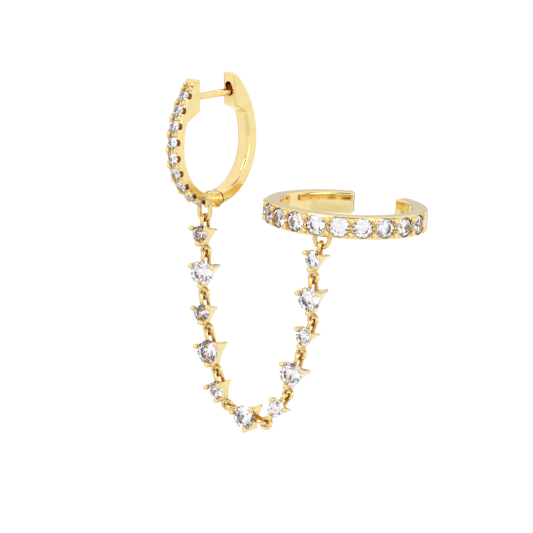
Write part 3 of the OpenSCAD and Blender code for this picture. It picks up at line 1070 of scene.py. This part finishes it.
class EARRING_OT_hoop(bpy.types.Operator):
    """Make the hinged hoop: the stone-set half with its post and eye, and the plain half"""
    bl_idname = "earring.hoop"
    bl_label = "Hoop"

    def front(self, sizes, stones):
        """Band, block, knuckles, ear post, grains and eye, with seats for the stones."""
        plate = rounded_plate("front", band_outline(FRONT_T, FRONT_TOP, True), HOOP_W,
                              sizes.hoop_edge / MM)
        plate.transform(Matrix.Scale(-1, 4, Vector((1, 0, 0))))
        plate.flip_normals()
        slot = TONGUE_W / 2 + RUN_GAP
        plate = cut(plate, hinge_disc("slot", KNUCKLE_R + RUN_GAP, -slot, slot))
        plate = seated(plate, stones, HOOP_STONE_D)
        plate = cut(plate, joined("scallops", [
            (across("scallop", place, SCALLOP_D, HOOP_W), Matrix()) for place in stones]))
        between = [hoop_step(k - 0.5) for k in range(HOOP_STONES + 1)]
        plate = pocketed(plate, between[:-1], sizes.pocket / MM, HOOP_POCKET_OUT)
        post = along_x(
            "post", POST_D, -LOBE_GAP / 2 - POST_ROOT, POST_END, round_end=POST_ROUND)
        eye = wire_mesh(
            "hoop_eye", staple_path(HOOP_EYE_R, HOOP_EYE_DROP + SOLDER), False, END_WIRE,
            moved(-HOOP_EYE_FRONT, 0, -(POST_H + BAND_AT_EYE + HOOP_EYE_DROP))
            @ turned("Z", 90) @ turned("X", 180))
        grains = grain_row([
            place @ moved(y=side * HOOP_BEAD_OUT)
            for place in [hoop_step(-END_GRAINS)] + between for side in (-1, 1)],
            sizes.hoop_grain / MM)
        mesh = joined("hoop_front", [(m, Matrix()) for m in (plate, post, eye, grains)])
        piece("hoop_front", mesh, [MATERIALS["gold"]], FRONT, ["front_hoop"],
              BAND_CREASE)

    def back(self, sizes):
        """Plain band, hinge tongue and the catch with its hole and keyhole."""
        plate = rounded_plate("back", band_outline(BACK_T, CATCH_TOP, False), HOOP_W,
                              sizes.back_edge / MM)
        mouth = LOBE_GAP / 2 - HOLE_LEAD
        end = LOBE_GAP / 2 + CATCH_DEPTH
        side = TONGUE_W / 2
        cutters = [
            hinge_disc("gap", KNUCKLE_R + RUN_GAP, side, HOOP_W),
            hinge_disc("gap", KNUCKLE_R + RUN_GAP, -HOOP_W, -side),
            along_x("post_hole", POST_HOLE, mouth, end),
            along_x("post_slot", POST_HOLE, mouth, end, z=SLOT_RISE),
            along_x("keyhole", KEYHOLE_D, mouth, end, KEYHOLE_SHIFT, KEYHOLE_RISE)]
        for cutter in cutters:
            plate = cut(plate, cutter)
        tongue = hinge_disc("tongue", KNUCKLE_R, -side, side, TONGUE_EDGE)
        mesh = joined("hoop_back", [(plate, Matrix()), (tongue, Matrix())])
        piece("hoop_back", mesh, [MATERIALS["gold"]], BACK, ["back_hoop"], BAND_CREASE)

    def execute(self, context):
        sizes = context.scene.earring_sizes
        rise = moved(z=girdle_rise(HOOP_STONE_D))
        stones = [hoop_step(k) @ rise for k in range(HOOP_STONES)]
        self.front(sizes, stones)
        self.back(sizes)
        stone_row("hoop_stones", stones, HOOP_STONE_D, HOOP_SEED, "huggie_stones")
        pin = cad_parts["hinge_pin"]
        pin.data.materials.clear()
        pin.data.materials.append(MATERIALS["gold"])
        return {"FINISHED"}


def column_section(d):
    """Section of a setting: three prongs joined by hollow faces, for a stone of a diameter."""
    prong = PRONG_D / 2
    prong_at = d / 2 + PRONG_OUT
    face_r = HOLLOW_SHARE * d
    face_at = FACE_IN * d / 2 + face_r
    apart = math.sqrt(face_at ** 2 + prong_at ** 2 - face_at * prong_at)
    spread = math.acos((apart ** 2 + prong ** 2 - face_r ** 2) / (2 * apart * prong))
    points = []
    for corner in CORNERS:
        centre = Vector((prong_at * cosd(corner), prong_at * sind(corner)))
        hollow = [Vector((face_at * cosd(corner + t), face_at * sind(corner + t)))
                  for t in (-60, 60)]
        toward = [math.atan2(h.y - centre.y, h.x - centre.x) for h in hollow]
        first, last = toward[0] + spread, toward[1] - spread
        while last < first:
            last += 2 * math.pi
        for k in range(PRONG_STEPS + 1):
            a = first + (last - first) * k / PRONG_STEPS
            points.append(centre + prong * Vector((math.cos(a), math.sin(a))))
    whole = []
    per = PRONG_STEPS + 1
    for c, corner in enumerate(CORNERS):
        ring = points[c * per:(c + 1) * per]
        after = points[(c + 1) % len(CORNERS) * per]
        middle = corner + 60
        centre = Vector((face_at * cosd(middle), face_at * sind(middle)))
        a0 = math.atan2(ring[-1].y - centre.y, ring[-1].x - centre.x)
        a1 = math.atan2(after.y - centre.y, after.x - centre.x)
        turn = (a1 - a0 + math.pi) % (2 * math.pi) - math.pi
        whole += ring
        for k in range(1, HOLLOW_STEPS):
            a = a0 + turn * k / HOLLOW_STEPS
            whole.append(centre + face_r * Vector((math.cos(a), math.sin(a))))
    return whole


def setting_column(d, foot):
    """Column of a setting with its seat cut, its prongs standing over the girdle."""
    depth = d * PAVILION + FLOOR_T
    section = column_section(d)
    rings = []
    for inward, along in rounding(foot, EDGE_STEPS):
        shrink = 1 - inward / (d / 2)
        rings.append([(p.x * shrink, p.y * shrink, -depth + along) for p in section])
    for z in (*(-depth * share for share in COLUMN_SHARES), -d * GIRDLE):
        rings.append([(p.x, p.y, z) for p in section])
    column = cut(skinned("column", rings), stone_seat(d))
    neck, ball = PRONG_D / 2, TIP_D / 2
    tip = [(0, -PRONG_FOOT), (neck * FOOT_SHARE, -PRONG_FOOT), (neck, -PRONG_TAPER),
           (neck, PRONG_NECK)]
    start = -math.degrees(math.acos(min(neck * NECK_ROOM / ball, 1)))
    for k in range(TIP_STEPS + 1):
        rise = start + (90 - start) * k / TIP_STEPS
        tip.append((ball * cosd(rise), TIP_RISE + ball * sind(rise)))
    prong = revolved("prong", tip, PRONG_SIDES)
    at = d / 2 + PRONG_OUT
    prongs = [(prong, turned("Z", a) @ moved(at, 0, 0)) for a in CORNERS]
    return joined("setting_column", [(column, Matrix())] + prongs)


class EARRING_OT_chain(bpy.types.Operator):
    """Make the chain: each three-prong setting with its two eyes, and each of their stones"""
    bl_idname = "earring.chain"
    bl_label = "Chain"

    def eyes(self, i, place):
        """A setting's upper eye, its lower eye and the stem between that and the column."""
        face = FACE_IN * stone_d(i) / 2
        upper = {
            0: 90 + CHAIN_RUN, BOTTOM: 0, SETTINGS - 1: -90 - CUFF_TURN - CUFF_EYE_TURN,
        }.get(i, LINK_TURN)
        beside = CHAIN_ROUTE[BOTTOM][2]
        lower = {BOTTOM - 1: -beside, BOTTOM: 90, BOTTOM + 1: -beside}.get(i, -LINK_TURN)
        drop = EYE_BACK * math.tan(math.radians(CHAIN_ROUTE[i][3]))
        leg = reach_up(i) - face + SOLDER + drop
        staple = wire_mesh(
            "upper_eye", staple_path(EYE_R, leg), False, EYE_WIRE,
            place @ moved(z=reach_up(i)) @ turned("Z", 90 - upper))
        ring = wire_mesh(
            "lower_eye", ring_path(EYE_R), True, EYE_WIRE,
            place @ moved(z=-reach_down(i)) @ turned("Z", lower))
        stem = wire_mesh(
            "stem", [(0, 0, EYE_R - reach_down(i)), (0, 0, -face)], False, EYE_WIRE, place)
        return staple, ring, stem

    def execute(self, context):
        foot = context.scene.earring_sizes.foot_edge / MM
        columns = {d: setting_column(d, foot) for d in (SMALL_D, LARGE_D)}
        for i in range(SETTINGS):
            place = on_chain(i)
            head = place @ setting_head(i)
            number = f"{i + 1:02d}"
            parts = [(columns[stone_d(i)], head)] + [(m, Matrix()) for m in self.eyes(i, place)]
            mesh = joined(f"chain_setting_{number}", parts)
            piece(f"chain_setting_{number}", mesh, [MATERIALS["gold"]], FRONT,
                  [f"setting_{number}"], SETTING_CREASE, False)
            stone_row(f"chain_stone_{number}", [head], stone_d(i),
                      CHAIN_SEED + CHAIN_SEED_STEP * i, f"stone_{number}")
        return {"FINISHED"}


class EARRING_OT_cuff(bpy.types.Operator):
    """Make the open cuff: its band, grains, eye and stones"""
    bl_idname = "earring.cuff"
    bl_label = "Cuff"

    def section(self, depth, edge):
        """Rounded section of the band as (radius, height), moved inwards by a depth."""
        half_t, half_h = CUFF_T / 2 - depth, CUFF_H / 2 - depth
        r = max(edge - depth, SMALLEST_EDGE)
        points = []
        for cx, cy, start in (
                (half_t - r, -half_h + r, -90), (half_t - r, half_h - r, 0),
                (-half_t + r, half_h - r, 90), (-half_t + r, -half_h + r, 180)):
            points += arc(cx, cy, r, start, start + 90, CUFF_EDGE_STEP)
        return [(CUFF_MID_R + x, z) for x, z in points]

    def band(self, sizes):
        """Plain band from one side of the mouth round to the other, its two ends rounded."""
        edge, end = sizes.cuff_edge / MM, sizes.cuff_end / MM
        first = 180 - MOUTH_TURN + MOUTH_ANGLE / 2
        sweep = 360 - MOUTH_ANGLE
        cap = rounding(end, CUFF_END_STEPS)
        run = math.degrees(end / CUFF_MID_R)
        stations = [(depth, math.degrees(along / CUFF_MID_R)) for depth, along in cap]
        stations += [
            (0, run + (sweep - 2 * run) * k / CUFF_STEPS) for k in range(1, CUFF_STEPS)]
        stations += [(depth, sweep - math.degrees(along / CUFF_MID_R))
                     for depth, along in reversed(cap)]
        rings = []
        for depth, angle in stations:
            c, s = cosd(first + angle), sind(first + angle)
            rings.append([(r * c, r * s, z) for r, z in self.section(depth, edge)])
        band = skinned("cuff_band", rings)
        band.transform(ON_CUFF)
        return band

    def execute(self, context):
        sizes = context.scene.earring_sizes
        rise = moved(z=girdle_rise(CUFF_STONE_D))
        stones = [on_cuff(k) @ rise for k in range(CUFF_STONES)]
        between = [on_cuff(k - 0.5) for k in range(CUFF_STONES + 1)]
        band = seated(self.band(sizes), stones, CUFF_STONE_D)
        band = pocketed(band, between[1:-1], sizes.pocket / MM, CUFF_POCKET_OUT)
        grains = grain_row(
            [place @ moved(side * CUFF_BEAD_OUT) for place in between for side in (-1, 1)],
            sizes.cuff_grain / MM)
        eye = wire_mesh(
            "cuff_eye", staple_path(CUFF_EYE_R, CUFF_EYE_DROP + SOLDER), False, END_WIRE,
            ON_CUFF @ turned("Z", CUFF_EYE_TURN) @ Matrix.Translation(CUFF_EYE)
            @ turned("Z", 90) @ turned("X", 180))
        mesh = joined("cuff", [(m, Matrix()) for m in (band, grains, eye)])
        piece("cuff", mesh, [MATERIALS["gold"]], FRONT, ["cuff_band"], BAND_CREASE)
        stone_row("cuff_row", stones, CUFF_STONE_D, CUFF_SEED, "cuff_stones")
        return {"FINISHED"}


class EARRING_OT_stage(bpy.types.Operator):
    """Make the studio: white paper far below, a white tent, two softboxes and the camera"""
    bl_idname = "earring.stage"
    bl_label = "Stage"

    def paper(self, studio):
        """Matt white studio paper, with the faint tooth of uncoated stock."""
        material, tree, end = new_material("white_studio_paper")
        place = add_node(tree, "ShaderNodeTexCoord")
        tooth = add_node(tree, "ShaderNodeTexNoise", [
            ("Vector", place.outputs["Object"]), ("Scale", pattern_scale(2.5)),
            ("Detail", 2.0)])
        rough = add_node(tree, "ShaderNodeMapRange", [
            ("Value", tooth.outputs["Fac"]), ("To Min", 0.9), ("To Max", 1.0)])
        sheet = add_node(tree, "ShaderNodeBsdfPrincipled", [
            ("Base Color", (*studio.paper, 1.0)), ("Roughness", rough.outputs["Result"]),
            ("Specular IOR Level", 0.0), ("Emission Color", (1, 1, 1, 1)),
            ("Emission Strength", 0.2)])
        tree.links.new(sheet.outputs["BSDF"], end.inputs["Surface"])
        mesh = bpy.data.meshes.new("studio_floor")
        turns = [360 * k / PAPER_SIDES for k in range(PAPER_SIDES)]
        ring = [(PAPER_RADIUS * cosd(t), PAPER_RADIUS * sind(t), PAPER_HEIGHT) for t in turns]
        mesh.from_pydata(ring, [], [tuple(range(PAPER_SIDES))])
        mesh.materials.append(material)
        floor = shown("studio_floor", mesh)
        floor.visible_glossy = False
        floor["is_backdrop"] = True

    def tent(self, studio):
        """White tent over the whole scene, with dark gaps that only mirrors and light see."""
        world = bpy.data.worlds.new("white_tent")
        bpy.context.scene.world = world
        world.use_nodes = True
        tree = world.node_tree
        tree.nodes.clear()
        end = tree.nodes.new("ShaderNodeOutputWorld")
        way = add_node(tree, "ShaderNodeTexCoord")
        parts = add_node(tree, "ShaderNodeSeparateXYZ", [("Vector", way.outputs["Generated"])])
        flat = add_node(tree, "ShaderNodeCombineXYZ", [
            ("X", parts.outputs["X"]), ("Y", parts.outputs["Y"])])
        compass = add_node(tree, "ShaderNodeVectorMath", [(0, flat.outputs["Vector"])],
                           operation="NORMALIZE")
        dark = 0.0
        for heading, half, low, high, depth in TENT_GAPS:
            near = add_node(tree, "ShaderNodeVectorMath", [
                (0, compass.outputs["Vector"]), (1, (cosd(heading), sind(heading), 0))],
                operation="DOT_PRODUCT")
            across_gap = add_node(tree, "ShaderNodeMapRange", [
                ("Value", near.outputs["Value"]), ("From Min", cosd(half + SOFT_TURN)),
                ("From Max", cosd(half - SOFT_TURN)), ("To Max", depth)],
                interpolation_type="SMOOTHSTEP")
            above = add_node(tree, "ShaderNodeMapRange", [
                ("Value", parts.outputs["Z"]), ("From Min", low - SOFT_RISE),
                ("From Max", low + SOFT_RISE), ("To Max", across_gap.outputs["Result"])],
                interpolation_type="SMOOTHSTEP")
            gap = add_node(tree, "ShaderNodeMapRange", [
                ("Value", parts.outputs["Z"]), ("From Min", high + SOFT_RISE),
                ("From Max", high - SOFT_RISE), ("To Max", above.outputs["Result"])],
                interpolation_type="SMOOTHSTEP")
            dark = add_node(tree, "ShaderNodeMath", [
                (0, dark), (1, gap.outputs["Result"])], operation="MAXIMUM").outputs["Value"]
        cloth = add_node(tree, "ShaderNodeMix", [
            ("Factor", dark), ("A", (1, 1, 1, 1)), ("B", (*studio.flag, 1))], data_type="RGBA")
        lit = add_node(tree, "ShaderNodeBackground", [
            ("Color", cloth.outputs["Result"]), ("Strength", studio.tent)])
        plain = add_node(tree, "ShaderNodeBackground", [
            ("Color", (1, 1, 1, 1)), ("Strength", 1.0)])
        ray = add_node(tree, "ShaderNodeLightPath")
        mix = add_node(tree, "ShaderNodeMixShader", [
            (0, ray.outputs["Is Camera Ray"]), (1, lit.outputs[0]), (2, plain.outputs[0])])
        tree.links.new(mix.outputs[0], end.inputs["Surface"])

    def softbox(self, name, power, box, back, right):
        """Square area light that points at the earring's middle."""
        size, (nearer, aside, over) = box
        middle = (Vector(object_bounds()[0]) + Vector(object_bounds()[1])) / 2
        place = middle + back * nearer + right * aside + Vector((0, 0, over))
        light = bpy.data.lights.new(name, "AREA")
        light.energy = power
        light.size = size
        obj = bpy.data.objects.new(name, light)
        obj.location = place
        obj.rotation_euler = (middle - place).to_track_quat("-Z", "Y").to_euler()
        bpy.context.scene.collection.objects.link(obj)

    def camera(self, studio):
        """Camera of the photograph; gives the directions toward it and to its right."""
        a, e = studio.azimuth, studio.elevation
        back = Vector((math.sin(a) * math.cos(e), -math.cos(a) * math.cos(e), math.sin(e)))
        right = Vector((math.cos(a), math.sin(a), 0))
        up = back.cross(right)
        data = bpy.data.cameras.new("camera")
        data.lens = studio.lens
        data.sensor_width = 36
        data.clip_start = 0.01
        data.clip_end = 20
        camera = bpy.data.objects.new("camera", data)
        camera.location = back * studio.distance
        aim = right * studio.aim_right - up * studio.aim_down
        camera.rotation_euler = (aim - camera.location).to_track_quat("-Z", "Y").to_euler()
        bpy.context.scene.collection.objects.link(camera)
        bpy.context.scene.camera = camera
        return back, right

    def execute(self, context):
        studio = context.scene.earring_studio
        self.paper(studio)
        self.tent(studio)
        back, right = self.camera(studio)
        self.softbox("key_softbox", studio.key, KEY_BOX, back, right)
        self.softbox("fill_softbox", studio.fill, FILL_BOX, back, right)
        context.scene.view_settings.view_transform = "Standard"
        return {"FINISHED"}


class EARRING_PT_panel(bpy.types.Panel):
    """Sizes, finish, studio and the operators that build the earring"""
    bl_idname = "EARRING_PT_panel"
    bl_label = "Ear chain earring"
    bl_space_type = "VIEW_3D"
    bl_region_type = "UI"
    bl_category = "Earring"

    def draw(self, context):
        for group in ("earring_sizes", "earring_finish", "earring_studio"):
            settings = getattr(context.scene, group)
            box = self.layout.box()
            for key in settings.bl_rna.properties.keys():
                if key not in ("rna_type", "name"):
                    box.prop(settings, key)
        for step in STEPS:
            self.layout.operator(step.bl_idname)


GROUPS = {
    "earring_sizes": EarringSizes, "earring_finish": EarringFinish, "earring_studio": EarringStudio}
STEPS = (
    EARRING_OT_materials, EARRING_OT_hoop, EARRING_OT_chain, EARRING_OT_cuff, EARRING_OT_stage)


def register():
    """Register the classes and hang the property groups on the scene."""
    for cls in (*GROUPS.values(), *STEPS, EARRING_PT_panel):
        bpy.utils.register_class(cls)
    for name, group in GROUPS.items():
        setattr(bpy.types.Scene, name, bpy.props.PointerProperty(type=group))


def unregister():
    """Take the property groups off the scene and unregister the classes."""
    for name in GROUPS:
        delattr(bpy.types.Scene, name)
    for cls in (EARRING_PT_panel, *reversed(STEPS), *reversed(GROUPS.values())):
        bpy.utils.unregister_class(cls)


def main():
    """Build every piece in order."""
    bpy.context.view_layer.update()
    register()
    bpy.ops.earring.materials()
    bpy.ops.earring.hoop()
    bpy.ops.earring.chain()
    bpy.ops.earring.cuff()
    bpy.ops.earring.stage()


if __name__ == "__main__":
    main()
